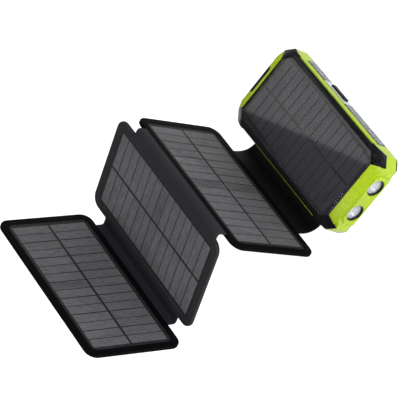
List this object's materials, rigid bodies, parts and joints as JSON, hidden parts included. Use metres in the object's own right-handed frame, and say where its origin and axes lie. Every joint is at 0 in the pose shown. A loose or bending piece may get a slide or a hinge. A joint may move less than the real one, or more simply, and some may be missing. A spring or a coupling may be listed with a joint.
{
  "type": "solar phone charger",
  "caption": "Fold-out solar power bank with a solar top, lamps, a side button, a rubber port cover and leather-bound solar panels on flexible strips.",
  "frame": {"origin": "middle of the power bank's flat back, which it rests on", "axes": "+Z out of the power bank's solar top, +X towards the flashlight end, +Y towards the ribbed side strip; the panels lead away to -Y"},
  "size_m": [0.163, 0.2337, 0.1558],
  "materials": {
    "green_plastic": "satin lime green moulding",
    "black_plastic": "satin black moulding",
    "black_rubber": "soft matt black rubber",
    "silver_trim": "silver painted ribs",
    "silver_plate": "smooth silver paint",
    "lamp_ring": "bright plated ring",
    "reflector": "bright vacuum-plated cone",
    "led": "yellow phosphor",
    "lamp_lens": "clear moulded lens",
    "solar_cell": "dark silicon under laminate",
    "laminate": "clear matt laminate",
    "circuit_board": "green solder mask",
    "screw_steel": "zinc plated",
    "socket_steel": "nickel plated sheet",
    "socket_plastic": "blue moulded tongue",
    "coil": "ferrite",
    "pouch_cell": "aluminium laminate pouch",
    "foam": "closed-cell foam",
    "leather": "grained black synthetic leather",
    "stiffener": "grey board",
    "ribbon": "flat flexible cable"
  },
  "bodies": {
    "power_bank": {"back_cover": "black_plastic", "mid_frame": "green_plastic", "top_bezel": "black_plastic", "top_solar_board": "circuit_board", "top_solar_cells": "solar_cell", "top_laminate": "laminate", "lamp_rings": "lamp_ring", "lamp_reflectors": "reflector", "lamp_leds": "led", "lamp_boards": "circuit_board", "lamp_lenses": "lamp_lens", "side_trim": "silver_trim", "trim_screws": "screw_steel", "button_plate": "silver_plate", "light_pipes": "lamp_lens", "button_board": "circuit_board", "tact_switch": "black_plastic", "port_fascia": "black_plastic", "usb_shells": "socket_steel", "usb_tongues": "socket_plastic", "micro_usb_socket": "socket_steel", "main_board": "circuit_board", "power_coils": "coil", "battery_cells": "pouch_cell", "foam_pads": "foam", "case_screws": "screw_steel", "spine_tab": "leather"},
    "button": {"power_button": "black_rubber"},
    "cover": {"port_cover": "black_rubber"},
    "spine": {"spine_leather": "leather", "spine_ribbon": "ribbon"},
    "panel_1": {"strip_1_2": "leather", "panel_1_back": "leather", "panel_1_stiffener": "stiffener", "panel_1_board": "circuit_board", "panel_1_cells": "solar_cell", "panel_1_laminate": "laminate", "panel_1_front": "leather"},
    "panel_2": {"strip_2_3": "leather", "panel_2_back": "leather", "panel_2_stiffener": "stiffener", "panel_2_board": "circuit_board", "panel_2_cells": "solar_cell", "panel_2_laminate": "laminate", "panel_2_front": "leather"},
    "panel_3": {"panel_3_back": "leather", "panel_3_stiffener": "stiffener", "panel_3_board": "circuit_board", "panel_3_cells": "solar_cell", "panel_3_laminate": "laminate", "panel_3_front": "leather"}
  },
  "joints": [
    {"name": "spine_fold", "type": "hinge", "parent": "power_bank", "child": "spine", "pos_m": [0, -0.0385, 0.0016], "axis": [-1, 0, 0], "range_deg": [-40.5, 49.5]},
    {"name": "panel_1_fold", "type": "hinge", "parent": "spine", "child": "panel_1", "pos_m": [0, -0.05637, 0.01686], "axis": [-1, 0, 0], "range_deg": [-40.5, 49.5]},
    {"name": "panel_2_fold", "type": "hinge", "parent": "panel_1", "child": "panel_2", "pos_m": [0, -0.07243, 0.10615], "axis": [-1, 0, 0], "range_deg": [-74.5, 105.5], "deforming": ["strip_1_2"]},
    {"name": "panel_3_fold", "type": "hinge", "parent": "panel_2", "child": "panel_3", "pos_m": [0, -0.16, 0.07042], "axis": [-1, 0, 0], "range_deg": [-94.5, 85.5], "deforming": ["strip_2_3"]},
    {"name": "power_button_press", "type": "slide", "parent": "power_bank", "child": "button", "axis": [0, -1, 0], "range_m": [0, 0.0005], "stiffness_N_per_m": 600, "springref_m": -0.0008},
    {"name": "port_cover_swing", "type": "hinge", "parent": "power_bank", "child": "cover", "pos_m": [-0.0729, -0.0186, 0], "axis": [0, 0, 1], "range_deg": [0, 120]}
  ],
  "couplings": [
    {"joint": "panel_1_fold", "follows": "spine_fold", "ratio": 1}
  ]
}
